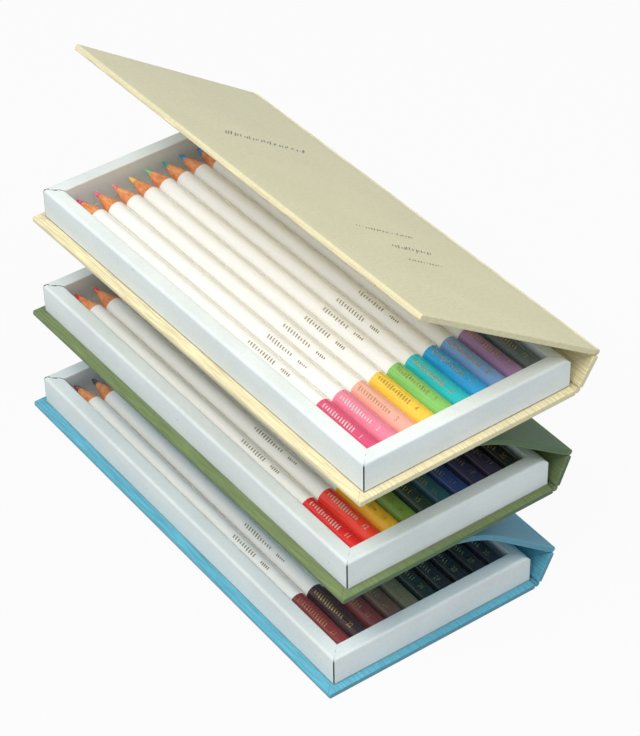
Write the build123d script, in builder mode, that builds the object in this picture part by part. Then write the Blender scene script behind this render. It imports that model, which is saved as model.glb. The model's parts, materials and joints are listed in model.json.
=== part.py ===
from build123d import *
from math import atan, cos, degrees, radians, sin
import os

os.makedirs("parts", exist_ok=True)

# Three book-form pencil boxes standing one above another. In each box's own frame X runs from the
# opening edge towards the spine, Y from the pencils' blunt ends to their tips and Z up, with the
# origin at the tray's lower outer corner.

# Driving dimensions, in millimetres.
tray_length = 190.0
tray_width = 87.3
tray_height = 12.2
wall_width = 5.7
tray_card = 0.8
floor_card = 0.6
spine_wall_radius = 3.5
rim_radius = 1.2

board = 2.3
board_edge_radius = 0.8
end_chamfer = 0.4
end_overhang = 2.8
fore_overhang = 3.9
hinge_setback = 1.5
cover_play = 0.3

pencil_count = 10
pencil_diameter = 7.4
pencil_length = 176.6
pencil_pitch = 7.57
cone_length = 14.5
cone_flats = 20
tip_radius = 0.3
blunt_gap = 0.4

bed_thinnest = 3.0
bed_crest = 5.3
bed_length = 169.5
bed_end_gap = 0.3
groove_clearance = 0.2
mitre_gap = 0.03
hinge_clearance = 0.06
hinge_end_inset = 0.6

# Each box: name, place of its frame, turn about Z, spine's lean from upright, cover's rise.
boxes = [
    ("blue", (0.0, 0.0, 0.0), 0.0, 26.3, 38.2),
    ("green", (2.9, -4.3, 47.1), 0.5, 23.1, 35.2),
    ("cream", (4.5, -11.7, 95.3), 1.0, 32.0, 34.3),
]
# A lower box's cover leaves the spine straight, then bends level below the box above.
straight_run = 30.0
stack_gap = 0.3

# Derived sizes.
case_length = tray_length + 2 * end_overhang
bead_radius = board / 2
hinge_x = tray_width + hinge_setback
hinge_z = -board / 2
spine_span = tray_height + cover_play + board
cover_reach = hinge_x + fore_overhang
pencil_radius = pencil_diameter / 2
groove_radius = pencil_radius + groove_clearance
pencil_z = floor_card + bed_thinnest + groove_radius
cone_slope = degrees(atan((pencil_radius * cos(radians(180 / cone_flats)) - tip_radius) / cone_length))
well_width = tray_width - 2 * wall_width
first_pencil_x = tray_width / 2 - pencil_pitch * (pencil_count - 1) / 2
row_origin = (hinge_x / 2 - fore_overhang / 2, tray_length / 2, -board)


def box_plane(place, turn):
    """The box's own frame, with the row's origin under the middle of the lowest board."""
    origin = Vector(*place) - Vector(*row_origin)
    return Plane(origin=origin, x_dir=(cos(radians(turn)), sin(radians(turn)), 0), z_dir=(0, 0, 1))


def section_plane(frame, y):
    """A plane across the box at y, drawn in X and Z and facing the blunt ends."""
    return Plane(origin=frame.from_local_coords((0, y, 0)), x_dir=frame.x_dir, z_dir=-frame.y_dir)


def save(shape, name):
    shape.label = name
    export_step(shape, f"parts/{name}.step")


def eased_ends(part, frame):
    """Eases the edges where the wrapping turns over the two ends of a board."""
    lowest = frame.from_local_coords((0, -end_overhang, 0))
    ends = [
        edge
        for edge in part.edges()
        if abs(abs((edge.center() - lowest).dot(frame.y_dir) - case_length / 2) - case_length / 2) < 0.01
        and edge.length > board * 2
    ]
    return chamfer(ends, end_chamfer)


def clear_crease(place, heading, inner_side):
    """Room in a board's section for the rolled cloth, and for the next board to fold inwards."""
    reach = bead_radius + hinge_clearance
    with Locations(Location((place[0], place[1], 0), (0, 0, heading))):
        Circle(reach, mode=Mode.SUBTRACT)
        Rectangle(reach, reach, align=(Align.MIN, inner_side), mode=Mode.SUBTRACT)


def make_back_board(name, frame):
    with BuildPart() as back_board:
        with BuildSketch(section_plane(frame, tray_length + end_overhang)):
            with Locations((-fore_overhang, hinge_z)):
                Rectangle(cover_reach, board, align=(Align.MIN, Align.CENTER))
            fillet(vertices().group_by(Axis.X)[0], board_edge_radius)
            clear_crease((hinge_x, hinge_z), 180, Align.MAX)
        extrude(amount=case_length)
        eased_ends(back_board, frame)
    save(back_board.part, f"{name}_back_board")


def make_hinge_cloth(name, frame, place, label):
    """The rolled cloth of a crease, round about the line on which the boards turn."""
    with BuildPart() as hinge_cloth:
        with BuildSketch(section_plane(frame, tray_length + end_overhang - hinge_end_inset)):
            with Locations(place):
                Circle(bead_radius)
        extrude(amount=case_length - 2 * hinge_end_inset)
    save(hinge_cloth.part, f"{name}_{label}_hinge_cloth")


def make_spine_board(name, frame, lean):
    with BuildPart() as spine_board:
        with BuildSketch(section_plane(frame, tray_length + end_overhang)):
            with Locations((hinge_x, hinge_z)):
                Rectangle(spine_span, board, rotation=90 - lean, align=(Align.MIN, Align.CENTER))
            clear_crease((hinge_x, hinge_z), 90 - lean, Align.MIN)
            clear_crease(upper_hinge(lean), 270 - lean, Align.MAX)
        extrude(amount=case_length)
    save(spine_board.part, f"{name}_spine_board")


def upper_hinge(lean):
    """Where the cover's crease lies in X and Z for a spine that leans by this angle."""
    return (hinge_x + spine_span * sin(radians(lean)), hinge_z + spine_span * cos(radians(lean)))


def make_front_board(name, frame, lean, rise, ceiling):
    """The cover: flat on the uppermost box, bent level under a box that stands above."""
    crease_x, crease_z = upper_hinge(lean)
    ux, uz = -cos(radians(rise)), sin(radians(rise))
    side_x, side_z = uz * board / 2, -ux * board / 2
    start = (crease_x + side_x, crease_z + side_z)
    with BuildPart() as front_board:
        with BuildSketch(section_plane(frame, tray_length + end_overhang)):
            with BuildLine():
                if ceiling is None:
                    Line(start, (start[0] + ux * cover_reach, start[1] + uz * cover_reach))
                else:
                    climb = ceiling - stack_gap - board / 2 - crease_z - straight_run * uz
                    bend = climb / (1 - cos(radians(rise)))
                    level_run = cover_reach - straight_run - bend * radians(rise)
                    straight = Line(start, (start[0] + ux * straight_run, start[1] + uz * straight_run))
                    curve = JernArc(straight @ 1, straight % 1, bend + board / 2, rise)
                    Line(curve @ 1, (curve @ 1) + curve % 1 * level_run)
                offset(amount=board, side=Side.LEFT)
            make_face()
            fillet(vertices().group_by(Axis.X)[0], board_edge_radius)
            clear_crease((crease_x, crease_z), 180 - rise, Align.MIN)
        extrude(amount=case_length)
        eased_ends(front_board, frame)
    save(front_board.part, f"{name}_front_board")


def make_tray_floor(name, frame):
    with BuildPart() as tray_floor:
        with BuildSketch(frame):
            Rectangle(tray_width, tray_length, align=(Align.MIN, Align.MIN))
        extrude(amount=floor_card)
    save(tray_floor.part, f"{name}_tray_floor")


def make_walls(name, frame):
    """Two long and two short walls, cut from one folded profile along 45 degree mitres."""
    w = wall_width
    with BuildPart() as shell:
        for inset, mode in ((0, Mode.ADD), (tray_card, Mode.SUBTRACT)):
            with BuildSketch(section_plane(frame, tray_length - inset)):
                with Locations((inset, floor_card)):
                    Rectangle(
                        tray_width - 2 * inset, tray_height - floor_card - inset, align=(Align.MIN, Align.MIN)
                    )
                tops = vertices().group_by(Axis.Y)[-1].sort_by(Axis.X)
                fillet(tops[0], rim_radius - inset / 2)
                fillet(tops[1], spine_wall_radius - inset)
            extrude(amount=tray_length - 2 * inset, mode=mode)
        with BuildSketch(frame.offset(floor_card)):
            with Locations((tray_width / 2, tray_length / 2)):
                Rectangle(tray_width - 2 * (w - tray_card), tray_length - 2 * (w - tray_card))
        extrude(amount=tray_height - floor_card)
        with BuildSketch(frame.offset(floor_card)):
            with Locations((tray_width / 2, tray_length / 2)):
                Rectangle(tray_width - 2 * w, tray_length - 2 * w)
        extrude(amount=tray_height - floor_card, mode=Mode.SUBTRACT)
    g = mitre_gap
    plans = {
        "long_walls": [
            [(0, g), (0, tray_length - g), (w, tray_length - w - g), (w, w + g)],
            [
                (tray_width, g),
                (tray_width - w, w + g),
                (tray_width - w, tray_length - w - g),
                (tray_width, tray_length - g),
            ],
        ],
        "short_walls": [
            [(g, 0), (w + g, w), (tray_width - w - g, w), (tray_width - g, 0)],
            [
                (g, tray_length),
                (tray_width - g, tray_length),
                (tray_width - w - g, tray_length - w),
                (w + g, tray_length - w),
            ],
        ],
    }
    for label, outlines in plans.items():
        pair = []
        for outline in outlines:
            with BuildPart() as wall:
                add(shell.part)
                with BuildSketch(frame):
                    with BuildLine():
                        Polyline(*outline, close=True)
                    make_face()
                extrude(amount=tray_height, mode=Mode.INTERSECT)
            pair.append(wall.part)
        save(Compound(children=pair), f"{name}_{label}")


def make_pencil_bed(name, frame):
    """A moulded card bed with one round groove under each pencil."""
    with BuildPart() as pencil_bed:
        with BuildSketch(section_plane(frame, wall_width + bed_end_gap + bed_length)):
            with Locations((tray_width / 2, floor_card)):
                Rectangle(well_width - 2 * bed_end_gap, bed_crest, align=(Align.CENTER, Align.MIN))
            with Locations(*[(first_pencil_x + i * pencil_pitch, pencil_z) for i in range(pencil_count)]):
                Circle(groove_radius, mode=Mode.SUBTRACT)
        extrude(amount=bed_length)
    save(pencil_bed.part, f"{name}_pencil_bed")


def make_pencil():
    """A round pencil standing on its blunt end; its sharpened end has fine flats for a cone."""
    shoulder = pencil_length - cone_length
    with BuildPart() as pencil:
        with BuildSketch():
            Circle(pencil_radius)
        extrude(amount=shoulder)
        with BuildSketch(Plane.XY.offset(shoulder)):
            RegularPolygon(pencil_radius, cone_flats)
        extrude(amount=cone_length, taper=cone_slope)
    return pencil.part


def lay_pencil(pencil, name, frame, index):
    """Lays a pencil in its groove, with its blunt end by the near wall."""
    x = first_pencil_x + index * pencil_pitch
    blunt_end = Plane(
        origin=frame.from_local_coords((x, wall_width + blunt_gap, pencil_z)),
        x_dir=frame.x_dir,
        z_dir=frame.y_dir,
    )
    save(pencil.moved(blunt_end.location), f"{name}_pencil_{index + 1:02d}")


pencil = make_pencil()
for level, (name, place, turn, lean, rise) in enumerate(boxes):
    frame = box_plane(place, turn)
    above = boxes[level + 1] if level + 1 < len(boxes) else None
    ceiling = above[1][2] - board - place[2] if above else None
    make_back_board(name, frame)
    make_hinge_cloth(name, frame, (hinge_x, hinge_z), "lower")
    make_spine_board(name, frame, lean)
    make_hinge_cloth(name, frame, upper_hinge(lean), "upper")
    make_front_board(name, frame, lean, rise, ceiling)
    make_tray_floor(name, frame)
    make_walls(name, frame)
    make_pencil_bed(name, frame)
    for index in range(pencil_count):
        lay_pencil(pencil, name, frame, index)
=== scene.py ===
import json
import math
import random

import bmesh
import bpy
from mathutils import Matrix, Vector


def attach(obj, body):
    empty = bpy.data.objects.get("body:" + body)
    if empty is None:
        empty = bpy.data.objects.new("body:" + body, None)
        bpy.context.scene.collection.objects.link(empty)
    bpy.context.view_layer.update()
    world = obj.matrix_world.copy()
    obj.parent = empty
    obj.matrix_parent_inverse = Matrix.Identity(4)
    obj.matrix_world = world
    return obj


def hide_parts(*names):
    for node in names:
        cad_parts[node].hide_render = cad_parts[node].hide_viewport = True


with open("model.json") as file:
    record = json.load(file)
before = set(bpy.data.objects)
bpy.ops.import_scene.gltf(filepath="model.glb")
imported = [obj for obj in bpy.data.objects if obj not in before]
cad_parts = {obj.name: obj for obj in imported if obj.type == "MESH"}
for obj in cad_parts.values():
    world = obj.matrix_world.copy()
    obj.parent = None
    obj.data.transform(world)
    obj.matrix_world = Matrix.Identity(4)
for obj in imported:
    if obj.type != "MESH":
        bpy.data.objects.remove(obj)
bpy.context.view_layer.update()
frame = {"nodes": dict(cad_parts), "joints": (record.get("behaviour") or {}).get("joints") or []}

scene = bpy.context.scene
mm = 0.001

# Pencil boxes in millimetres: x runs to the spine, y to the pencils' tips and z up,
# from the tray's lower outer corner.
tray = {"length": 190.0, "width": 87.3, "height": 12.2, "wall": 5.7, "card": 0.8, "floor": 0.6}
case = {"board": 2.3, "endOverhang": 2.8, "foreOverhang": 3.9, "setback": 1.5, "creaseRoom": 1.3}
boxNames = ["cream", "green", "blue"]

hingeX = tray["width"] + case["setback"]
coverReach = hingeX + case["foreOverhang"]
caseStart = -case["endOverhang"]
caseEnd = tray["length"] + case["endOverhang"]
joints = {joint["name"]: joint for joint in frame["joints"]}


def readBox(name):
    # a box's own axes and the place of its upper crease, from its two hinges
    lower, upper = joints[name + "_spine_hinge"], joints[name + "_cover_hinge"]
    along = Vector(lower["axis"]).normalized()
    turn = Matrix((Vector((along.y, -along.x, 0)), along, Vector((0, 0, 1)))).transposed()
    hingePlace = Vector((hingeX, tray["length"] / 2, -case["board"] / 2)) * mm
    origin = Vector(lower["pos_m"]) - turn @ hingePlace
    place = Matrix.Translation(origin) @ turn.to_4x4()
    crease = place.inverted() @ Vector(upper["pos_m"]) / mm
    return {"place": place, "creaseX": crease.x, "creaseZ": crease.z, "floorZ": origin.z / mm}


boxes = {name: readBox(name) for name in boxNames}
print("boxes read from the frame:", len(frame["nodes"]), "nodes")


def linearColour(red, green, blue):
    # from the values that a picture shows, 0 to 255, to the linear ones that shaders take
    shares = [value / 255 for value in (red, green, blue)]
    linear = [c / 12.92 if c <= 0.04045 else ((c + 0.055) / 1.055) ** 2.4 for c in shares]
    return (*linear, 1.0)


def newPiece(name, mesh, place, materials):
    # the place goes into the mesh, so that the object stays at the origin
    mesh.transform(place @ Matrix.Scale(mm, 4))
    mesh.name = name
    for material in materials:
        if material.name not in mesh.materials:
            mesh.materials.append(material)
    piece = bpy.data.objects.new(name, mesh)
    scene.collection.objects.link(piece)
    return piece


def settle(piece, body, slotName, *nodes):
    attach(piece, body)
    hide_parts(*nodes)


def roundEdges(mesh, angle=32):
    mesh.polygons.foreach_set("use_smooth", [True] * len(mesh.polygons))
    mesh.set_sharp_from_angle(angle=math.radians(angle))


def arcPoints(centre, radius, first, last, steps):
    turns = [math.radians(first + (last - first) * i / steps) for i in range(steps + 1)]
    return [(centre[0] + radius * math.cos(a), centre[1] + radius * math.sin(a)) for a in turns]


def addNode(tree, kind, inputs=None, **settings):
    node = tree.nodes.new(kind)
    for key, value in settings.items():
        setattr(node, key, value)
    for socket, value in (inputs or {}).items():
        if isinstance(value, bpy.types.NodeSocket):
            tree.links.new(value, node.inputs[socket])
        else:
            node.inputs[socket].default_value = value
    return node


def sums(tree, operation, *values):
    return addNode(tree, "ShaderNodeMath", dict(enumerate(values)), operation=operation).outputs[0]


def ramp(tree, value, fromMin, fromMax, toMin=0.0, toMax=1.0):
    limits = {0: value, 1: fromMin, 2: fromMax, 3: toMin, 4: toMax}
    return addNode(tree, "ShaderNodeMapRange", limits, interpolation_type="SMOOTHSTEP").outputs[0]


def blendColours(tree, share, first, second, mode="MIX"):
    sockets = {0: share, 6: first, 7: second}
    return addNode(tree, "ShaderNodeMix", sockets, data_type="RGBA", blend_type=mode).outputs[2]


def pickValue(tree, share, first, second):
    return addNode(tree, "ShaderNodeMix", {0: share, 2: first, 3: second}).outputs[0]


def stretchedNoise(tree, place, scales, detail=3.0, roughness=0.55):
    # noise with its own number of cells to the metre along each axis
    stretched = addNode(tree, "ShaderNodeMapping", {0: place, 3: scales}).outputs[0]
    node = addNode(tree, "ShaderNodeTexNoise",
                   {"Vector": stretched, "Scale": 1.0, "Detail": detail, "Roughness": roughness})
    return node.outputs[0]


def newMaterial(name, **fixed):
    material = bpy.data.materials.new(name)
    material.use_nodes = True
    shader = material.node_tree.nodes["Principled BSDF"]
    for socket, value in fixed.items():
        shader.inputs[socket.replace("_", " ")].default_value = value
    return material, material.node_tree, shader


def addBump(tree, shader, height, distance):
    sockets = {"Height": height, "Distance": distance, "Strength": 1.0}
    bump = addNode(tree, "ShaderNodeBump", sockets)
    tree.links.new(bump.outputs[0], shader.inputs["Normal"])


# bookcloth with fine ribs along the case on its inner face and fainter ones across it outside
bookCloth = {
    "innerThreads": (1500.0, 70.0, 400.0), "innerShade": (0.74, 1.05),
    "outerThreads": (420.0, 1500.0, 400.0), "outerShade": (0.93, 1.04),
    "clouds": (28.0, 40.0, 40.0), "fluff": (2600.0, 2600.0, 2600.0), "ribDepth": 0.0001,
    "wearStart": 0.0003, "wearWidth": 0.0007, "wornShare": 0.3,
    "turnIn": 0.012, "foldFrom": -0.0006, "foldWidth": 0.00022, "foldShade": 0.62,
    "outer": {"cream": (227, 219, 180), "green": (86, 112, 80), "blue": (98, 156, 178)},
    "inner": {"cream": (246, 232, 188), "green": (124, 142, 94), "blue": (104, 186, 210)},
    "edge": {"cream": (240, 229, 190), "green": (102, 124, 90), "blue": (126, 192, 212)},
}


def makeBookCloth(name, mapped):
    material, tree, shader = newMaterial(
        name + ("_bookcloth" if mapped else "_creased_bookcloth"),
        Sheen_Weight=0.12, Sheen_Roughness=0.5, Specular_IOR_Level=0.25)
    if mapped:
        place = addNode(tree, "ShaderNodeUVMap", uv_map="clothMap").outputs[0]
    else:
        place = addNode(tree, "ShaderNodeTexCoord").outputs["Object"]
    split = addNode(tree, "ShaderNodeSeparateXYZ", {0: place})
    across, along = split.outputs[0], split.outputs[1]
    ribs = stretchedNoise(tree, place, bookCloth["innerThreads"])
    cross = stretchedNoise(tree, place, bookCloth["outerThreads"])
    clouds = stretchedNoise(tree, place, bookCloth["clouds"], detail=2.0)
    fluff = stretchedNoise(tree, place, bookCloth["fluff"], detail=1.0)
    outside = sums(tree, "GREATER_THAN", across, 0.0) if mapped else 0.0
    threads = pickValue(tree, outside, ribs, cross)
    weave = pickValue(tree, outside, ramp(tree, ribs, 0.32, 0.68, *bookCloth["innerShade"]),
                      ramp(tree, cross, 0.3, 0.7, *bookCloth["outerShade"]))
    colour = blendColours(tree, outside, linearColour(*bookCloth["inner"][name]),
                          linearColour(*bookCloth["outer"][name]))
    shade = sums(tree, "ADD", weave, ramp(tree, clouds, 0.3, 0.7, -0.02, 0.02))
    shade = sums(tree, "ADD", shade, ramp(tree, fluff, 0.35, 0.7, -0.03, 0.03))
    if mapped:
        # paler worn edges, and painted shade along the fold of the cloth that runs from each corner
        fromStart = sums(tree, "SUBTRACT", along, caseStart * mm)
        fromEnd = sums(tree, "SUBTRACT", caseEnd * mm, along)
        fromFore = sums(tree, "ABSOLUTE", across)
        toEnd = sums(tree, "ABSOLUTE", sums(tree, "MINIMUM", fromStart, fromEnd))
        toEdge = sums(tree, "MINIMUM", toEnd, fromFore)
        toEdge = sums(tree, "ADD", toEdge, sums(tree, "MULTIPLY", clouds, 0.001))
        start, share = bookCloth["wearStart"], bookCloth["wornShare"]
        worn = ramp(tree, toEdge, start, bookCloth["wearWidth"] + start, share, 0.0)
        colour = blendColours(tree, worn, colour, linearColour(*bookCloth["edge"][name]))
        offFold = sums(tree, "ABSOLUTE", sums(tree, "SUBTRACT", toEnd, fromFore))
        fold = ramp(tree, offFold, 0.0, bookCloth["foldWidth"], bookCloth["foldShade"], 1.0)
        inside = sums(tree, "MULTIPLY", sums(tree, "LESS_THAN", across, bookCloth["foldFrom"]),
                      sums(tree, "LESS_THAN", toEnd, bookCloth["turnIn"]))
        fold = pickValue(tree, inside, 1.0, fold)
        shade = sums(tree, "MULTIPLY", shade, fold)
        threads = sums(tree, "ADD", threads, sums(tree, "MULTIPLY", fold, 0.8))
    height = sums(tree, "ADD", threads, sums(tree, "MULTIPLY", fluff, 0.4))
    grey = addNode(tree, "ShaderNodeCombineXYZ", {0: shade, 1: shade, 2: shade}).outputs[0]
    colour = blendColours(tree, 1.0, colour, grey, mode="MULTIPLY")
    tree.links.new(colour, shader.inputs["Base Color"])
    tree.links.new(ramp(tree, threads, 0.3, 0.7, 0.82, 0.66), shader.inputs["Roughness"])
    addBump(tree, shader, height, bookCloth["ribDepth"])
    return material


# smooth white card of the trays, slightly clouded and speckled
trayCard = {"white": (236, 243, 242), "grey": (196, 205, 208), "speck": (120, 118, 112),
            "fibres": (900.0, 900.0, 900.0), "specks": (420.0, 420.0, 420.0), "fibreDepth": 0.00004}


def makeTrayCard():
    material, tree, shader = newMaterial("tray_white_card", Specular_IOR_Level=0.35)
    place = addNode(tree, "ShaderNodeTexCoord").outputs["Object"]
    fibres = stretchedNoise(tree, place, trayCard["fibres"], detail=4.0)
    clouds = stretchedNoise(tree, place, (30.0, 22.0, 60.0), detail=2.0)
    specks = stretchedNoise(tree, place, trayCard["specks"], detail=0.0)
    tone = sums(tree, "ADD", ramp(tree, clouds, 0.35, 0.65, 0.0, 0.22),
                ramp(tree, fibres, 0.4, 0.7, 0.0, 0.12))
    white, grey = linearColour(*trayCard["white"]), linearColour(*trayCard["grey"])
    colour = blendColours(tree, tone, white, grey)
    speckled = ramp(tree, specks, 0.87, 0.9, 0.0, 0.3)
    colour = blendColours(tree, speckled, colour, linearColour(*trayCard["speck"]))
    tree.links.new(colour, shader.inputs["Base Color"])
    tree.links.new(ramp(tree, fibres, 0.3, 0.7, 0.5, 0.68), shader.inputs["Roughness"])
    addBump(tree, shader, fibres, trayCard["fibreDepth"])
    return material


# rough grey card: light and dark fibres of the bed, of the cut edges in the seams, and of the
# floor; the cut edges' dark brown is partly the card's own colour, partly painted shade of the open
# seams
greyCard = {
    "bed": ((204, 200, 196), (172, 164, 154)), "edge": ((92, 80, 74), (58, 50, 46)),
    "floor": ((182, 178, 174), (148, 143, 138)), "roughness": 0.85, "fibreDepth": 0.0001,
}


def makeGreyCard(name, light, dark):
    rough = greyCard["roughness"]
    material, tree, shader = newMaterial(name, Specular_IOR_Level=0.2, Roughness=rough)
    place = addNode(tree, "ShaderNodeTexCoord").outputs["Object"]
    fibres = stretchedNoise(tree, place, (800.0, 500.0, 800.0), detail=5.0, roughness=0.7)
    clouds = stretchedNoise(tree, place, (90.0, 60.0, 90.0), detail=3.0)
    tone = sums(tree, "ADD", ramp(tree, fibres, 0.35, 0.7, 0.0, 0.6),
                ramp(tree, clouds, 0.35, 0.7, 0.0, 0.4))
    colour = blendColours(tree, tone, linearColour(*light), linearColour(*dark))
    tree.links.new(colour, shader.inputs["Base Color"])
    addBump(tree, shader, fibres, greyCard["fibreDepth"])
    return material


# a pencil's sizes, its place in the tray, and how far its roll and its length may differ
colourPencil = {
    "diameter": 7.4, "length": 176.6, "cone": 14.5, "colouredEnd": 28.5, "edgeRound": 0.6,
    "lead": 4.2, "leadRadius": 1.25, "leadEnd": 0.55, "lacquerStep": 0.06, "segments": 48,
    "height": 7.5, "bluntGap": 0.4, "pitch": 7.57, "count": 10, "tipPlay": 0.8, "roll": -0.25,
    "rollPlay": 0.25,
}
# hard glossy lacquer, with painted tan shade along the sides where the barrels lie against each
# other
lacquer = {"white": (250, 249, 245), "shade": (246, 244, 239), "side": (204, 180, 144),
           "gloss": 0.16, "dull": 0.28, "paler": 0.05, "deeper": 0.16, "sideShadeShare": 0.8,
           "streakDepth": 0.000003}


def makeLacquer(name, tinted):
    material, tree, shader = newMaterial(name, Coat_Weight=0.4, Coat_Roughness=0.08)
    place = addNode(tree, "ShaderNodeUVMap", uv_map="pencilMap").outputs[0]
    streaks = stretchedNoise(tree, place, (1900.0, 45.0, 1.0), detail=3.0)
    dust = stretchedNoise(tree, place, (1500.0, 1200.0, 1.0), detail=1.0)
    if tinted:
        tint = addNode(tree, "ShaderNodeAttribute", attribute_name="tint").outputs["Color"]
        pale = blendColours(tree, lacquer["paler"], tint, (1.0, 1.0, 1.0, 1.0))
        deep = blendColours(tree, lacquer["deeper"], tint, (0.0, 0.0, 0.0, 1.0))
        colour = blendColours(tree, ramp(tree, streaks, 0.3, 0.72), deep, pale)
    else:
        colour = blendColours(tree, ramp(tree, streaks, 0.4, 0.75, 0.0, 0.7),
                              linearColour(*lacquer["white"]), linearColour(*lacquer["shade"]))
        around = addNode(tree, "ShaderNodeSeparateXYZ", {0: place}).outputs[0]
        radius = colourPencil["diameter"] / 2 * mm
        upright = sums(tree, "COSINE", sums(tree, "DIVIDE", around, radius))
        # painted tan shade: the barrel's sides, away from its top, are tinted tan as the shade
        # between neighbouring pencils
        rubWearAndSideShade = ramp(tree, upright, 0.38, 0.0, 0.0, lacquer["sideShadeShare"])
        colour = blendColours(tree, rubWearAndSideShade, colour, linearColour(*lacquer["side"]))
    tree.links.new(colour, shader.inputs["Base Color"])
    dulled = ramp(tree, dust, 0.4, 0.7, lacquer["gloss"], lacquer["dull"])
    tree.links.new(dulled, shader.inputs["Roughness"])
    addBump(tree, shader, sums(tree, "ADD", streaks, dust), lacquer["streakDepth"])
    return material


# bare wood of the cones, with its grain along the pencil
sharpenedWood = {"light": (248, 172, 116), "dark": (214, 126, 74), "grainDepth": 0.00005}


def makeSharpenedWood():
    material, tree, shader = newMaterial("sharpened_wood", Specular_IOR_Level=0.3, Roughness=0.62)
    place = addNode(tree, "ShaderNodeTexCoord").outputs["Object"]
    grain = stretchedNoise(tree, place, (1500.0, 130.0, 1500.0), detail=4.0)
    patches = stretchedNoise(tree, place, (330.0, 210.0, 330.0), detail=2.0)
    tone = sums(tree, "ADD", ramp(tree, grain, 0.38, 0.66, 0.0, 0.6),
                ramp(tree, patches, 0.4, 0.64, 0.0, 0.5))
    light, dark = linearColour(*sharpenedWood["light"]), linearColour(*sharpenedWood["dark"])
    tree.links.new(blendColours(tree, tone, light, dark), shader.inputs["Base Color"])
    addBump(tree, shader, grain, sharpenedWood["grainDepth"])
    return material


waxyLead = {"scuff": (0.9, 0.9, 0.9, 1.0), "scuffShare": 0.28, "scuffDepth": 0.00003}


def makeLead():
    material, tree, shader = newMaterial("waxy_lead", Specular_IOR_Level=0.45, Roughness=0.42)
    place = addNode(tree, "ShaderNodeTexCoord").outputs["Object"]
    tint = addNode(tree, "ShaderNodeAttribute", attribute_name="tint").outputs["Color"]
    scuffs = stretchedNoise(tree, place, (1400.0, 500.0, 1400.0), detail=3.0)
    scuffed = ramp(tree, scuffs, 0.4, 0.72, 0.0, waxyLead["scuffShare"])
    colour = blendColours(tree, scuffed, tint, waxyLead["scuff"])
    tree.links.new(colour, shader.inputs["Base Color"])
    addBump(tree, shader, scuffs, waxyLead["scuffDepth"])
    return material


# foils and prints: light and dark colour, and how metallic
printFinishes = {
    "gold_foil": ((236, 205, 130), (176, 132, 62), 0.85),
    "silver_foil": ((250, 246, 240), (214, 206, 200), 0.5),
    "brown_print": ((168, 148, 104), (112, 94, 62), 0.3),
    # the marks pressed into the cream cover: their dark is painted shade of the pressing
    "pressed_mark_shade": ((120, 116, 94), (66, 64, 52), 0.0),
}


def makePrint(name):
    light, dark, metal = printFinishes[name]
    material, tree, shader = newMaterial(name, Metallic=metal)
    place = addNode(tree, "ShaderNodeTexCoord").outputs["Object"]
    rubWearAndSideShade = stretchedNoise(tree, place, (2400.0, 1500.0, 2400.0), detail=3.0)
    worn = ramp(tree, rubWearAndSideShade, 0.35, 0.7)
    colour = blendColours(tree, worn, linearColour(*light), linearColour(*dark))
    tree.links.new(colour, shader.inputs["Base Color"])
    tree.links.new(ramp(tree, rubWearAndSideShade, 0.3, 0.7, 0.28, 0.5), shader.inputs["Roughness"])
    return material


whiteCard = makeTrayCard()
greyBed = makeGreyCard("grey_bed_card", *greyCard["bed"])
cutEdgeAndSeamShade = makeGreyCard("cut_edge_and_seam_shade_card", *greyCard["edge"])
greyFloor = makeGreyCard("grey_floor_card", *greyCard["floor"])
whiteLacquer = makeLacquer("white_lacquer", False)
colouredLacquer = makeLacquer("coloured_lacquer", True)
coneWood = makeSharpenedWood()
colourLead = makeLead()
goldFoil, silverFoil, brownPrint, pressedMarkShade = [makePrint(name) for name in printFinishes]
cloths = {name: makeBookCloth(name, True) for name in boxNames}
creaseCloths = {name: makeBookCloth(name, False) for name in boxNames}
print("finishes made:", len(bpy.data.materials))


def newTree(name, inputs):
    # a Geometry Nodes tree with named inputs
    tree = bpy.data.node_groups.new(name, "GeometryNodeTree")
    kinds = {int: "NodeSocketInt", float: "NodeSocketFloat"}
    for label, value in inputs.items():
        kind = kinds[type(value)]
        socket = tree.interface.new_socket(name=label, in_out="INPUT", socket_type=kind)
        socket.default_value = value
    tree.interface.new_socket(name="Geometry", in_out="OUTPUT", socket_type="NodeSocketGeometry")
    given = tree.nodes.new("NodeGroupInput")
    return tree, given.outputs


def endTree(tree, geometry, material):
    real = addNode(tree, "GeometryNodeRealizeInstances", {0: geometry}).outputs[0]
    dressed = addNode(tree, "GeometryNodeSetMaterial", {"Geometry": real, "Material": material})
    result = tree.nodes.new("NodeGroupOutput")
    tree.links.new(dressed.outputs[0], result.inputs[0])


def runTree(tree, values):
    # runs the tree once and keeps the result as a plain mesh
    holder = bpy.data.objects.new("holder", bpy.data.meshes.new("holder"))
    scene.collection.objects.link(holder)
    modifier = holder.modifiers.new("tree", "NODES")
    modifier.node_group = tree
    for item in tree.interface.items_tree:
        if item.in_out == "INPUT" and item.name in values:
            modifier[item.identifier] = values[item.name]
    evaluated = holder.evaluated_get(bpy.context.evaluated_depsgraph_get())
    mesh = bpy.data.meshes.new_from_object(evaluated)
    bpy.data.objects.remove(holder)
    return mesh


# rows of short marks, for the foil and print on the barrels and the marks on the cream cover
foilTicks = {
    "Count": 13, "Pitch": 1.3, "Length": 2.2, "Shortest": 0.45, "Width": 0.5, "Radius": 3.72,
    "Start": 10.5, "Turn": 0.0, "Slant": 0.25, "Jitter": 0.12, "Seed": 3,
}


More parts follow.
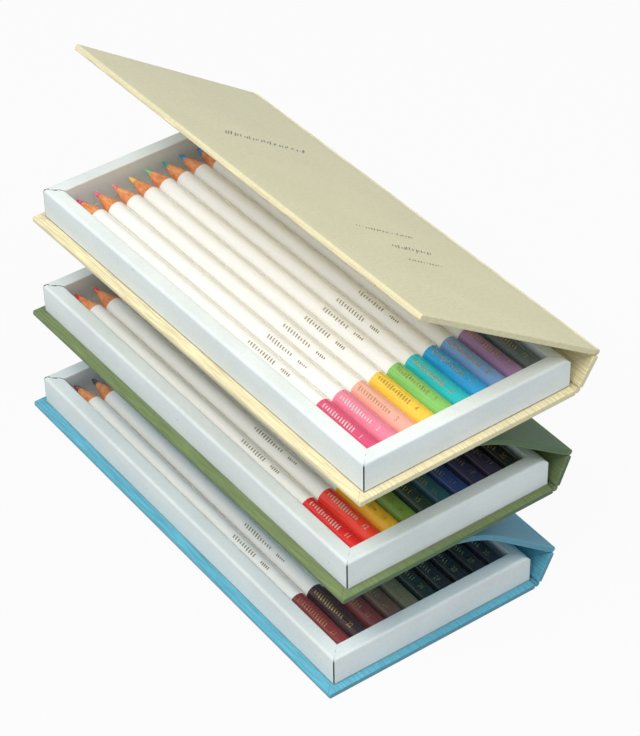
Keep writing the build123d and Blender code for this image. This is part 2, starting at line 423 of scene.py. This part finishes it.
def makeTickTree():
    # short bars across the barrel, set out along it and wrapped round it
    tree, given = newTree("barrel_ticks", foilTicks)
    start = addNode(tree, "ShaderNodeCombineXYZ", {1: given["Start"]}).outputs[0]
    step = addNode(tree, "ShaderNodeCombineXYZ", {1: given["Pitch"]}).outputs[0]
    line = addNode(tree, "GeometryNodeMeshLine", {
        "Count": given["Count"], "Start Location": start, "Offset": step})
    bar = addNode(tree, "GeometryNodeMeshGrid", {
        "Size X": given["Length"], "Size Y": given["Width"], "Vertices X": 6, "Vertices Y": 2})
    spread = addNode(tree, "FunctionNodeRandomValue", data_type="FLOAT")
    tree.links.new(given["Shortest"], spread.inputs[2])
    tree.links.new(given["Seed"], spread.inputs["Seed"])
    sizes = addNode(tree, "ShaderNodeCombineXYZ", {0: spread.outputs[1], 1: 1.0, 2: 1.0}).outputs[0]
    shift = addNode(tree, "FunctionNodeRandomValue", {1: (1.0, 0.0, 0.0)}, data_type="FLOAT_VECTOR")
    tree.links.new(given["Seed"], shift.inputs["Seed"])
    shift = addNode(tree, "ShaderNodeVectorMath", {0: shift.outputs[0]}, operation="SCALE")
    tree.links.new(given["Jitter"], shift.inputs["Scale"])
    points = addNode(tree, "GeometryNodeSetPosition", {
        "Geometry": line.outputs[0], "Offset": shift.outputs[0]})
    slant = addNode(tree, "ShaderNodeCombineXYZ", {2: given["Slant"]}).outputs[0]
    bars = addNode(tree, "GeometryNodeInstanceOnPoints", {
        "Points": points.outputs[0], "Instance": bar.outputs[0], "Rotation": slant, "Scale": sizes})
    real = addNode(tree, "GeometryNodeRealizeInstances", {0: bars.outputs[0]}).outputs[0]
    position = addNode(tree, "GeometryNodeInputPosition").outputs[0]
    spot = addNode(tree, "ShaderNodeSeparateXYZ", {0: position})
    angle = sums(tree, "ADD", sums(tree, "DIVIDE", spot.outputs[0], given["Radius"]), given["Turn"])
    place = addNode(tree, "ShaderNodeCombineXYZ", {
        0: sums(tree, "MULTIPLY", sums(tree, "SINE", angle), given["Radius"]), 1: spot.outputs[1],
        2: sums(tree, "MULTIPLY", sums(tree, "COSINE", angle), given["Radius"])})
    sockets = {"Geometry": real, "Position": place.outputs[0]}
    wrapped = addNode(tree, "GeometryNodeSetPosition", sockets)
    endTree(tree, wrapped.outputs[0], goldFoil)
    return tree


tickTree = makeTickTree()


# greyboard wrapped in cloth, drawn as a section and run along the case
wrappedBoard = {"freeEdge": 0.8, "creaseEdge": 0.5, "endEdge": 0.4, "steps": 5, "bendSamples": 28}


def straightPath(start, heading, side):
    # a point at a distance along the board and at a height over its middle
    def pointAt(distance, height):
        return (start[0] + heading[0] * distance + side[0] * height,
                start[1] + heading[1] * distance + side[1] * height)
    return pointAt


def bentPath(start, rise, straightRun, bend):
    # straight out of the spine, then over a wide bend, then level
    turn = math.radians(rise)
    bendRun = bend * turn

    def pointAt(distance, height):
        angle = turn - min(max(distance - straightRun, 0.0), bendRun) / bend
        x = -min(distance, straightRun) * math.cos(turn) - bend * (math.sin(turn) - math.sin(angle))
        z = min(distance, straightRun) * math.sin(turn) + bend * (math.cos(angle) - math.cos(turn))
        x -= max(distance - straightRun - bendRun, 0.0)
        return (start[0] + x + math.sin(angle) * height, start[1] + z + math.cos(angle) * height)
    return pointAt


def boardSection(first, last, freeEdge, inset, samples):
    # distance and height round the section: inner face, free edge, outer face, crease edge
    half, steps = case["board"] / 2, wrappedBoard["steps"]
    near, far = first + wrappedBoard["creaseEdge"], last - freeEdge
    runs = [near + (far - near) * i / samples for i in range(samples)]
    nearRound, farRound = wrappedBoard["creaseEdge"] - inset, freeEdge - inset
    points = [(run, inset - half) for run in runs]
    points += arcPoints((far, freeEdge - half), farRound, -90, 0, steps)
    points += arcPoints((far, half - freeEdge), farRound, 0, 90, steps)
    points += [(run, half - inset) for run in reversed(runs[1:])]
    points += arcPoints((near, half - wrappedBoard["creaseEdge"]), nearRound, 90, 180, steps)
    points += arcPoints((near, wrappedBoard["creaseEdge"] - half), nearRound, 180, 270, steps)[:-1]
    return points


def makeBoardMesh(pointAt, first, last, freeEdge, samples):
    steps, edge = wrappedBoard["steps"], wrappedBoard["endEdge"]
    stations = []
    for i in range(steps + 1):
        turn = math.radians(90 * i / steps)
        stations.append((caseStart + edge * (1 - math.sin(turn)), edge * (1 - math.cos(turn))))
    stations = sorted(stations) + [(caseStart + caseEnd - y, inset) for y, inset in stations]
    outlines = [boardSection(first, last, freeEdge, inset, samples) for y, inset in stations]
    ring = outlines[steps]
    lengths = [0.0]
    for i in range(len(ring)):
        lengths.append(lengths[-1] + math.dist(ring[i], ring[(i + 1) % len(ring)]))
    middle = (lengths[samples + steps] + lengths[samples + steps + 1]) / 2
    mesh = bmesh.new()
    uvLayer = mesh.loops.layers.uv.new("clothMap")
    rows = []
    for (y, inset), outline in zip(stations, outlines):
        rows.append([mesh.verts.new((x, y, z)) for x, z in (pointAt(*point) for point in outline)])
    for k in range(len(rows) - 1):
        for i in range(len(ring)):
            j = (i + 1) % len(ring)
            face = mesh.faces.new((rows[k][i], rows[k][j], rows[k + 1][j], rows[k + 1][i]))
            # the map runs from the middle of the free edge, negative on the inner side
            spots = [(i, k), (i + 1, k), (i + 1, k + 1), (i, k + 1)]
            for loop, (turn, station) in zip(face.loops, spots):
                loop[uvLayer].uv = ((lengths[turn] - middle) * mm, stations[station][0] * mm)
    for row, outline, side in ((rows[0], outlines[0], -1), (rows[-1], outlines[-1], 1)):
        cap = mesh.faces.new(row)
        y = caseStart if side < 0 else caseEnd
        for loop, (distance, height) in zip(cap.loops, outline):
            loop[uvLayer].uv = (distance * mm, (y + side * (height + case["board"])) * mm)
    bmesh.ops.recalc_face_normals(mesh, faces=mesh.faces)
    result = bpy.data.meshes.new("board")
    mesh.to_mesh(result)
    mesh.free()
    roundEdges(result, 40)
    for polygon in result.polygons:
        if polygon.loop_total > 4:
            polygon.use_smooth = False
    return result


# rows of marks pressed into the cream cover, painted dark as their shade: from and to across it,
# middle along it, height
coverMarks = {
    "rows": [(27.0, 68.0, 133.0, 5.0), (34.0, 62.0, 66.5, 2.6),
             (41.0, 60.5, 54.0, 5.0), (40.0, 57.0, 44.5, 2.0)],
    "pitch": 1.5, "width": 0.5, "shortest": 0.15, "slant": 0.7, "jitter": 0.25, "lift": 0.02,
    "flat": 2000.0,   # so wide a roundness that the marks lie flat
}


def addMarks(mesh, marks):
    # joins the marks to the board and faces them outwards
    marks.verts.index_update()
    joined = bmesh.new()
    joined.from_mesh(mesh)
    spots = [joined.verts.new(vertex.co) for vertex in marks.verts]
    for face in marks.faces:
        placed = joined.faces.new([spots[vertex.index] for vertex in face.verts])
        placed.material_index = 1
        placed.normal_update()
        if placed.normal.z < 0:
            placed.normal_flip()
    joined.to_mesh(mesh)
    joined.free()
    marks.free()


def makeCoverMarks(pointAt):
    marks = bmesh.new()
    pitch = coverMarks["pitch"]
    for seed, (first, last, middle, height) in enumerate(coverMarks["rows"]):
        row = runTree(tickTree, {
            "Start": first, "Count": round((last - first) / pitch) + 1, "Pitch": pitch,
            "Length": height, "Shortest": coverMarks["shortest"], "Width": coverMarks["width"],
            "Radius": coverMarks["flat"], "Slant": coverMarks["slant"],
            "Jitter": height * coverMarks["jitter"], "Seed": seed})
        for vertex in row.vertices:
            x, z = pointAt(coverReach - vertex.co.y, case["board"] / 2 + coverMarks["lift"])
            vertex.co = (x, middle + vertex.co.x, z)
        marks.from_mesh(row)
    return marks


# the cream cover is straight, and the two under a box bend level below it
coverShape = {"rise": {"cream": 34.3, "green": 35.2, "blue": 38.2}, "straightRun": 30.0,
              "stackGap": 0.3}


def makeCase(name):
    box = boxes[name]
    room, free = case["creaseRoom"], wrappedBoard["freeEdge"]
    hingeZ = -case["board"] / 2
    lean = Vector((box["creaseX"] - hingeX, box["creaseZ"] - hingeZ))
    span = lean.length
    lean.normalize()
    back = straightPath((hingeX, hingeZ), (-1, 0), (0, -1))
    spine = straightPath((hingeX, hingeZ), (lean.x, lean.y), (lean.y, -lean.x))
    crease = (box["creaseX"], box["creaseZ"])
    rise = coverShape["rise"][name]
    turn = math.radians(rise)
    if name == "cream":
        across, up = math.cos(turn), math.sin(turn)
        cover = straightPath(crease, (-across, up), (up, across))
    else:
        above = boxes[boxNames[boxNames.index(name) - 1]]
        ceiling = above["floorZ"] - case["board"] - box["floorZ"]
        climb = (ceiling - coverShape["stackGap"] - case["board"] / 2 - crease[1]
                 - coverShape["straightRun"] * math.sin(turn))
        cover = bentPath(crease, rise, coverShape["straightRun"], climb / (1 - math.cos(turn)))
    parts = [
        ("back", back, coverReach, free, 4, "_box", "_back_board"),
        ("spine", spine, span - room, wrappedBoard["creaseEdge"], 4, "_spine", "_spine_board"),
        ("cover", cover, coverReach, free, wrappedBoard["bendSamples"], "_cover", "_front_board"),
    ]
    for label, path, last, edge, samples, body, node in parts:
        mesh = makeBoardMesh(path, room, last, edge, samples)
        if label == "cover" and name == "cream":
            addMarks(mesh, makeCoverMarks(path))
        piece = newPiece(f"{name}_wrapped_{label}", mesh, box["place"], [cloths[name], pressedMarkShade])
        settle(piece, name + body, name + "_bookcloth", name + node)
    for node in ("_lower_hinge_cloth", "_upper_hinge_cloth"):
        frame["nodes"][name + node].data.materials.clear()
        frame["nodes"][name + node].data.materials.append(creaseCloths[name])


for name in boxNames:
    makeCase(name)
print("book cases made:", len(boxNames))


# hollow walls of folded card, mitred, with uneven seams that stand open by the pencils' tips; the
# faces in the seams carry painted seam shade
trayWalls = {
    "foreRound": 1.2, "spineRound": 3.5, "endRound": 1.0, "innerRound": 0.4,
    "seamGap": 0.24, "seamWave": 0.5, "seamWaves": 2.2, "nearSeam": 0.2, "tipsSeam": 1.0,
    "cornerGap": 0.36, "cornerReach": 0.35,
    "stations": [0, 0.15, 0.35, 0.6, 0.9, 1.3, 1.8, 2.4, 3.2, 4.5, 8, 20],
}


def rimLimit(distance, rounding):
    # height that the rounding at a wall's end leaves
    if distance >= rounding:
        return tray["height"]
    return tray["height"] - rounding + math.sqrt(max(rounding ** 2 - (rounding - distance) ** 2, 0))


def wallSection(outerRound):
    # distance inwards and height round the folded card, with 1 for its hidden side
    width, height, card, foot = tray["wall"], tray["height"], tray["card"], tray["floor"]
    inner = trayWalls["innerRound"]
    outside = [(0, foot), (0, foot + 0.2), (0, (foot + height - outerRound) / 2)]
    outside += arcPoints((outerRound, height - outerRound), outerRound, 180, 90, 8)
    outside += [(outerRound + (width - inner - outerRound) * i / 4, height) for i in (1, 2, 3)]
    outside += arcPoints((width - inner, height - inner), inner, 90, 0, 5)
    outside += [(width, foot)]
    hidden = [(width - card, foot), (width - card, height - card)]
    hiddenRound = max(outerRound - card, 0.3)
    hidden += arcPoints((card + hiddenRound, height - card - hiddenRound), hiddenRound, 90, 180, 5)
    hidden += [(card, foot)]
    return [(s, z, 0) for s, z in outside] + [(s, z, 1) for s, z in hidden]


def addWall(mesh, length, roundings, seams, toPlan):
    outerRound, startRound, endRound = roundings
    section = wallSection(outerRound)
    rows = []
    for side, distances in enumerate((trayWalls["stations"], trayWalls["stations"][::-1])):
        for distance in distances:
            row = []
            for s, z, hidden in section:
                wave = math.sin(s * trayWalls["seamWaves"] + length) * min(s, tray["wall"] - s, 1.0)
                start = s + seams[side] * (trayWalls["seamGap"] / 2 + trayWalls["seamWave"] * wave)
                start += trayWalls["cornerGap"] / 2 * math.exp(-s / trayWalls["cornerReach"])
                along = start + distance if side == 0 else length - start - distance
                limit = min(rimLimit(max(along, 0), startRound),
                            rimLimit(max(length - along, 0), endRound))
                height = min(z, limit - hidden * tray["card"])
                x, y = toPlan(s, along)
                row.append(mesh.verts.new((x, y, max(height, tray["floor"]))))
            rows.append(row)
    count = len(section)
    for k, (lower, upper) in enumerate(zip(rows, rows[1:])):
        for i in range(count):
            j = (i + 1) % count
            face = mesh.faces.new((lower[i], lower[j], upper[j], upper[i]))
            # the strips and caps at the mitres take the dark cut-card finish, painted shade of the
            # open seams
            wide = seams[int(k > 0)] == trayWalls["tipsSeam"]   # dark over the rim too
            if k in (0, len(rows) - 2) and (i < 3 or wide):
                face.material_index = 1
    for row in (rows[0], rows[-1]):
        mesh.faces.new(row).material_index = 1


def makeWalls(name, label, node, walls):
    mesh = bmesh.new()
    for wall in walls:
        addWall(mesh, *wall)
    bmesh.ops.recalc_face_normals(mesh, faces=mesh.faces)
    result = bpy.data.meshes.new(label)
    mesh.to_mesh(result)
    mesh.free()
    roundEdges(result, 30)
    piece = newPiece(f"{name}_{label}", result, boxes[name]["place"], [whiteCard, cutEdgeAndSeamShade])
    settle(piece, name + "_box", "white_card", name + node)


for name in boxNames:
    length, width = tray["length"], tray["width"]
    fore, spineSide, ends = trayWalls["foreRound"], trayWalls["spineRound"], trayWalls["endRound"]
    closed, wide = trayWalls["nearSeam"], trayWalls["tipsSeam"]
    makeWalls(name, "folded_long_walls", "_long_walls", [
        (length, (fore, ends, ends), (closed, wide), lambda s, along: (s, along)),
        (length, (spineSide, ends, ends), (closed, wide), lambda s, along: (width - s, along))])
    makeWalls(name, "folded_end_walls", "_short_walls", [
        (width, (ends, fore, spineSide), (closed, closed), lambda s, along: (along, s)),
        (width, (ends, fore, spineSide), (wide, wide), lambda s, along: (along, length - s))])
    floorNode = frame["nodes"][name + "_tray_floor"]
    floorNode.data.materials.clear()
    floorNode.data.materials.append(greyFloor)
print("trays made:", len(boxNames))


# bed with one round groove under each pencil and a rounded hump between two
pencilBed = {
    "Width": 75.3, "Length": 169.5, "Pitch": 7.57, "Groove": 3.9, "Centre": 6.9, "Crest": 5.3,
    "Softness": 0.5, "Columns": 301, "Rows": 14,
}
bedEndGap = 0.3


def makeBedTree():
    tree, given = newTree("grooved_bed", pencilBed)
    size = addNode(tree, "ShaderNodeCombineXYZ", {
        0: given["Width"], 1: given["Length"], 2: given["Crest"]})
    block = addNode(tree, "GeometryNodeMeshCube", {
        "Size": size.outputs[0], "Vertices X": given["Columns"], "Vertices Y": given["Rows"],
        "Vertices Z": 2})
    position = addNode(tree, "GeometryNodeInputPosition").outputs[0]
    spot = addNode(tree, "ShaderNodeSeparateXYZ", {0: position})
    halfPitch = sums(tree, "DIVIDE", given["Pitch"], 2.0)
    offGroove = addNode(tree, "ShaderNodeMath", {0: spot.outputs[0], 1: given["Pitch"], 2: 0.0},
                        operation="WRAP").outputs[0]
    offGroove = sums(tree, "SUBTRACT", offGroove, halfPitch)
    square = sums(tree, "SUBTRACT", sums(tree, "MULTIPLY", given["Groove"], given["Groove"]),
                  sums(tree, "MULTIPLY", offGroove, offGroove))
    depth = sums(tree, "SQRT", sums(tree, "MAXIMUM", square, 0.0))
    arc = sums(tree, "SUBTRACT", given["Centre"], depth)
    height = addNode(tree, "ShaderNodeMath", {0: arc, 1: given["Crest"], 2: given["Softness"]},
                     operation="SMOOTH_MIN").outputs[0]
    onTop = sums(tree, "GREATER_THAN", spot.outputs[2], 0.0)
    lift = sums(tree, "MULTIPLY", onTop,
                sums(tree, "SUBTRACT", height, sums(tree, "DIVIDE", given["Crest"], 2.0)))
    keep = sums(tree, "MULTIPLY", spot.outputs[2], sums(tree, "SUBTRACT", 1.0, onTop))
    place = addNode(tree, "ShaderNodeCombineXYZ",
                    {0: spot.outputs[0], 1: spot.outputs[1], 2: sums(tree, "ADD", lift, keep)})
    bed = addNode(tree, "GeometryNodeSetPosition", {
        "Geometry": block.outputs[0], "Position": place.outputs[0]})
    endTree(tree, bed.outputs[0], greyBed)
    return tree


bedTree = makeBedTree()
bedMiddle = (tray["width"] / 2, tray["wall"] + bedEndGap + pencilBed["Length"] / 2,
             tray["floor"] + pencilBed["Crest"] / 2)
for name in boxNames:
    mesh = runTree(bedTree, {})
    mesh.transform(Matrix.Translation(bedMiddle))
    roundEdges(mesh, 40)
    piece = newPiece(f"{name}_grooved_bed", mesh, boxes[name]["place"], [greyBed])
    settle(piece, name + "_box", "grey_card", name + "_pencil_bed")
print("pencil beds made:", len(boxNames))


# colours of the lacquered ends, from the fore edge to the spine
endColours = {
    "cream": [(232, 76, 124), (248, 136, 164), (255, 184, 164), (255, 214, 66), (138, 212, 108),
              (0, 204, 212), (0, 174, 240), (122, 172, 228), (172, 130, 180), (98, 116, 116)],
    "green": [(236, 16, 22), (250, 58, 30), (255, 194, 30), (130, 170, 65), (30, 60, 50),
              (30, 100, 115), (35, 75, 150), (50, 50, 100), (60, 50, 85), (28, 28, 30)],
    "blue": [(140, 45, 50), (60, 30, 35), (135, 55, 55), (125, 90, 75), (130, 125, 95),
             (25, 45, 40), (30, 32, 36), (26, 28, 34), (32, 34, 38), (45, 42, 55)],
}
# colours of the leads, in the same order
leadColours = {
    "cream": [(220, 60, 110), (235, 90, 120), (240, 110, 110), (250, 195, 70), (95, 190, 140),
              (0, 150, 140), (0, 135, 200), (50, 120, 200), (140, 95, 160), (90, 100, 105)],
    "green": [(235, 40, 30), (245, 60, 30), (255, 175, 30), (130, 170, 65), (30, 70, 55),
              (30, 100, 115), (35, 75, 150), (50, 50, 100), (60, 50, 85), (28, 28, 30)],
    "blue": [(130, 45, 50), (60, 45, 50), (135, 55, 55), (125, 90, 75), (130, 125, 95),
             (25, 45, 40), (30, 32, 36), (26, 28, 34), (32, 34, 38), (45, 42, 55)],
}
# numbers and ticks on the barrels: the ticks' values go to the tick tree
pencilPrint = {
    "numberSize": 2.6, "numberPlace": 7.0, "lift": 0.02, "slices": 7, "silverPencils": 2,
    "shortRow": {"Start": 45.5, "Count": 5, "Pitch": 1.0, "Length": 1.3},
    "longRow": {"Start": 54.0, "Pitch": 1.4, "Length": 1.9}, "longCounts": (10, 13),
}


def makeNumber(number, radius, turn):
    # a plain number as a mesh, cut into slices and wrapped round the barrel
    curve = bpy.data.curves.new("number", "FONT")
    curve.body = str(number)
    curve.size = pencilPrint["numberSize"]
    curve.align_x, curve.align_y = "LEFT", "CENTER"
    curve.resolution_u = 3
    holder = bpy.data.objects.new("number", curve)
    scene.collection.objects.link(holder)
    evaluated = holder.evaluated_get(bpy.context.evaluated_depsgraph_get())
    flat = bpy.data.meshes.new_from_object(evaluated)
    bpy.data.objects.remove(holder)
    mesh = bmesh.new()
    mesh.from_mesh(flat)
    for i in range(pencilPrint["slices"]):
        cut = pencilPrint["numberSize"] * (i / (pencilPrint["slices"] - 1) - 0.5) * 0.8
        bmesh.ops.bisect_plane(mesh, geom=mesh.verts[:] + mesh.edges[:] + mesh.faces[:],
                               plane_co=(0, cut, 0), plane_no=(0, 1, 0))
    for vertex in mesh.verts:
        angle = turn + vertex.co.y / radius
        along = pencilPrint["numberPlace"] - vertex.co.x
        vertex.co = (radius * math.sin(angle), along, radius * math.cos(angle))
    mesh.to_mesh(flat)
    mesh.free()
    return flat


def pencilProfile(length):
    # distance from the blunt end, radius and finish: 0 white, 1 coloured, 2 wood, 3 lead
    radius, cone, lead = colourPencil["diameter"] / 2, colourPencil["cone"], colourPencil["lead"]
    base, end = colourPencil["leadRadius"], colourPencil["leadEnd"]
    coloured, edge = colourPencil["colouredEnd"], colourPencil["edgeRound"]
    shoulder = length - cone
    profile = [(0.25, 0.0, 1), (0.2, radius * 0.35, 1), (0.1, radius * 0.7, 1)]
    turns = [math.radians(a) for a in (80, 60, 40, 20, 0)]
    profile += [(edge - edge * math.sin(a), radius - edge + edge * math.cos(a), 1) for a in turns]
    profile += [(coloured * i / 4, radius, 1) for i in (1, 2, 3)]
    profile += [(coloured, radius, 0)]
    profile += [(coloured + (shoulder - coloured) * i / 12, radius, 0) for i in range(1, 12)]
    profile += [(shoulder - 0.15, radius, 0), (shoulder, radius - 0.02, 2)]
    step = colourPencil["lacquerStep"]
    profile += [(shoulder + 0.08, radius - step, 2)]
    bare = radius - step
    profile += [(shoulder + (cone - lead) * i / 6, bare - (bare - base) * i / 6, 2)
                for i in (1, 2, 3, 4, 5)]
    profile += [(length - lead, base, 3), (length - lead + 0.1, base - 0.06, 3)]
    profile += [(length - lead * (1 - i / 3) - end * i / 3, base - (base - end) * i / 3, 3)
                for i in (1, 2, 3)]
    profile += [(length - end + end * math.sin(math.radians(a)), end * math.cos(math.radians(a)), 3)
                for a in (30, 60)] + [(length - 0.02, 0.0, 3)]
    return profile


def makePencilMesh(length, prints, tint, leadTint):
    segments = colourPencil["segments"]
    profile = pencilProfile(length)
    mesh = bmesh.new()
    uvLayer = mesh.loops.layers.uv.new("pencilMap")
    tintLayer = mesh.verts.layers.float_color.new("tint")
    rings = []
    for distance, radius, finish in profile:
        count = 1 if radius == 0 else segments
        turns = [math.tau * i / segments for i in range(count)]
        ring = [mesh.verts.new((radius * math.sin(a), distance, radius * math.cos(a)))
                for a in turns]
        for vertex in ring:
            vertex[tintLayer] = leadTint if finish == 3 else tint
        rings.append(ring)
    around = math.pi * colourPencil["diameter"] / segments
    for k in range(len(rings) - 1):
        low, high = rings[k], rings[k + 1]
        for i in range(segments):
            j = (i + 1) % segments
            corners = [(low[i % len(low)], i, k), (low[j % len(low)], i + 1, k),
                       (high[j % len(high)], i + 1, k + 1), (high[i % len(high)], i, k + 1)]
            if len(low) == 1:
                corners = [corners[0], corners[2], corners[3]]
            if len(high) == 1:
                corners = corners[:3]
            face = mesh.faces.new([corner[0] for corner in corners])
            face.material_index = profile[k][2]
            for loop, (vertex, turn, station) in zip(face.loops, corners):
                loop[uvLayer].uv = (turn * around * mm, profile[station][0] * mm)
    bmesh.ops.recalc_face_normals(mesh, faces=mesh.faces)
    for printed, slotIndex in prints:
        firstNew = len(mesh.faces)
        mesh.from_mesh(printed)
        mesh.faces.ensure_lookup_table()
        for face in mesh.faces[firstNew:]:
            face.material_index = slotIndex
            outwards = face.calc_center_median()
            outwards.y = 0
            if face.normal.dot(outwards) < 0:
                face.normal_flip()
    result = bpy.data.meshes.new("pencil")
    mesh.to_mesh(result)
    mesh.free()
    roundEdges(result, 30)
    return result


pencilFinishes = [whiteLacquer, colouredLacquer, coneWood, colourLead,
                  goldFoil, brownPrint, silverFoil]
dice = random.Random(7)


def makePrints(number, index, foil, turn):
    # the number and the ticks of one pencil, each with the place of its finish in the list above
    radius = colourPencil["diameter"] / 2 + pencilPrint["lift"]
    brown = pencilFinishes.index(brownPrint)
    rolled = {"Turn": turn, "Seed": index}
    count = dice.randint(*pencilPrint["longCounts"])
    longRow = {**rolled, **pencilPrint["longRow"], "Count": count}
    return [(makeNumber(number, radius, turn), foil), (runTree(tickTree, rolled), foil),
            (runTree(tickTree, {**rolled, **pencilPrint["shortRow"]}), brown),
            (runTree(tickTree, longRow), brown)]


pitch, count = colourPencil["pitch"], colourPencil["count"]
firstPencil = tray["width"] / 2 - pitch * (count - 1) / 2
rollPlay, tipPlay = colourPencil["rollPlay"], colourPencil["tipPlay"]
for order, name in enumerate(boxNames):
    for index in range(count):
        turn = dice.uniform(-rollPlay, rollPlay) + colourPencil["roll"]
        silver = index < pencilPrint["silverPencils"] and name != "blue"
        foil = pencilFinishes.index(silverFoil if silver else goldFoil)
        prints = makePrints(order * count + index + 1, index, foil, turn)
        tint = linearColour(*endColours[name][index])
        length = colourPencil["length"] + dice.uniform(-tipPlay, tipPlay)
        mesh = makePencilMesh(length, prints, tint, linearColour(*leadColours[name][index]))
        place = (firstPencil + index * pitch, tray["wall"] + colourPencil["bluntGap"],
                 colourPencil["height"])
        mesh.transform(Matrix.Translation(place))
        label = f"{index + 1:02d}"
        pieceName = f"{name}_colour_pencil_{label}"
        piece = newPiece(pieceName, mesh, boxes[name]["place"], pencilFinishes)
        settle(piece, f"{name}_pencil_{label}", "pencil_lacquer", f"{name}_pencil_{label}")
print("colour pencils made:", count * len(boxNames))


# floor, sky and two lamps
studio = {
    "skyLight": 0.52, "skyColour": (0.84, 0.92, 1.0, 1.0), "floorWhite": 0.5, "floorGlow": 0.94,
    "keyPlace": (-0.66, -0.2, 1.2), "keySize": 0.7, "keyPower": 11.2,
    "keyColour": (1.0, 0.975, 0.92),
    "topPlace": (0.1, -0.85, 1.15), "topSize": 0.8, "topPower": 4.0,
    "topColour": (1.0, 0.985, 0.95),
    "aim": (0, 0, 0.06), "floorHalf": 4,
}
photoCamera = {"place": (-0.41703, -0.61928, 0.67402), "turn": (50.5604, 0.761, -35.9126),
               "lens": 131.145, "sensor": 36.0}


def addLamp(name, place, size, power, colour):
    lamp = bpy.data.lights.new(name, "AREA")
    lamp.shape = "DISK"
    lamp.size = size
    lamp.energy = power
    lamp.color = colour
    holder = bpy.data.objects.new(name, lamp)
    holder.location = place
    ray = Vector(studio["aim"]) - Vector(place)
    holder.rotation_euler = ray.to_track_quat("-Z", "Y").to_euler()
    scene.collection.objects.link(holder)


def makeStudio():
    floorMesh = bpy.data.meshes.new("floor")
    half = studio["floorHalf"]
    corners = [(-half, -half, 0), (half, -half, 0), (half, half, 0), (-half, half, 0)]
    floorMesh.from_pydata(corners, [], [(0, 1, 2, 3)])
    floor = bpy.data.objects.new("studio_floor", floorMesh)
    scene.collection.objects.link(floor)
    material, tree, shader = newMaterial("pale_floor", Roughness=0.9, Specular_IOR_Level=0.0)
    white = studio["floorWhite"]
    shader.inputs["Base Color"].default_value = (white, white, white, 1.0)
    # the camera sees the floor as plain white, and it still lights the boxes and takes their shadow
    glow = addNode(tree, "ShaderNodeEmission", {"Color": (1.0, 1.0, 1.0, 1.0), "Strength": 1.0})
    path = addNode(tree, "ShaderNodeLightPath")
    seen = sums(tree, "MAXIMUM", path.outputs["Is Camera Ray"], path.outputs["Is Glossy Ray"])
    share = sums(tree, "MULTIPLY", seen, studio["floorGlow"])
    sockets = {0: share, 1: shader.outputs[0], 2: glow.outputs[0]}
    both = addNode(tree, "ShaderNodeMixShader", sockets)
    tree.links.new(both.outputs[0], tree.nodes["Material Output"].inputs["Surface"])
    floorMesh.materials.append(material)
    world = bpy.data.worlds.new("studio")
    world.use_nodes = True
    scene.world = world
    sky = world.node_tree
    light = sky.nodes["Background"]
    light.inputs[0].default_value = studio["skyColour"]
    light.inputs[1].default_value = studio["skyLight"]
    backdrop = addNode(sky, "ShaderNodeBackground", {0: (1.0, 1.0, 1.0, 1.0), 1: 1.0})
    path = addNode(sky, "ShaderNodeLightPath")
    mixed = addNode(sky, "ShaderNodeMixShader",
                    {0: path.outputs["Is Camera Ray"], 1: light.outputs[0], 2: backdrop.outputs[0]})
    sky.links.new(mixed.outputs[0], sky.nodes["World Output"].inputs["Surface"])
    for name in ("key", "top"):
        addLamp(name, *[studio[name + part] for part in ("Place", "Size", "Power", "Colour")])


def makeCamera():
    camera = bpy.data.cameras.new("photo_camera")
    camera.sensor_width = photoCamera["sensor"]
    camera.lens = photoCamera["lens"]
    camera.clip_start, camera.clip_end = 0.01, 20
    holder = bpy.data.objects.new("photo_camera", camera)
    holder.location = photoCamera["place"]
    holder.rotation_euler = [math.radians(angle) for angle in photoCamera["turn"]]
    scene.collection.objects.link(holder)
    scene.camera = holder


makeStudio()
makeCamera()
scene.view_settings.view_transform = "Standard"
print("studio and camera set")
